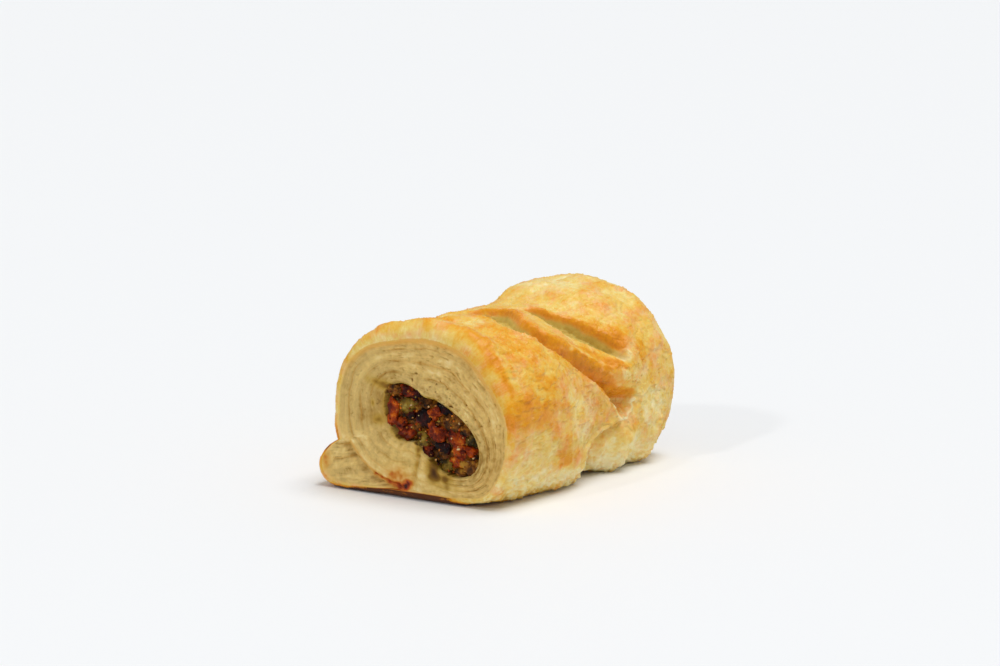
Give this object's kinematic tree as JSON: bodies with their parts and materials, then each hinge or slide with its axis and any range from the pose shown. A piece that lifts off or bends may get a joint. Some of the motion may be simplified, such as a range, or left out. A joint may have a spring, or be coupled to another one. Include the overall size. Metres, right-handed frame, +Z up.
{
  "type": "sausage roll",
  "caption": "Baked sausage roll: puff pastry wound round a dark chopped filling, cut square at both ends, slashed across the top, with a flat pastry flap along one side.",
  "frame": {"origin": "on the table, under the middle of the roll's box", "axes": "+X along the roll from the front cut to the rear cut, +Y towards the pastry flap, +Z up"},
  "size_m": [0.0714, 0.0556, 0.0419],
  "materials": {
    "baked_pastry": "egg-washed puff pastry, golden with browned patches, pale flaky layers at the cuts",
    "meat_filling": "moist chopped filling, dark red-brown with olive and orange pieces"
  },
  "bodies": {
    "root": {"pastry": "baked_pastry", "filling": "meat_filling"}
  },
  "joints": []
}
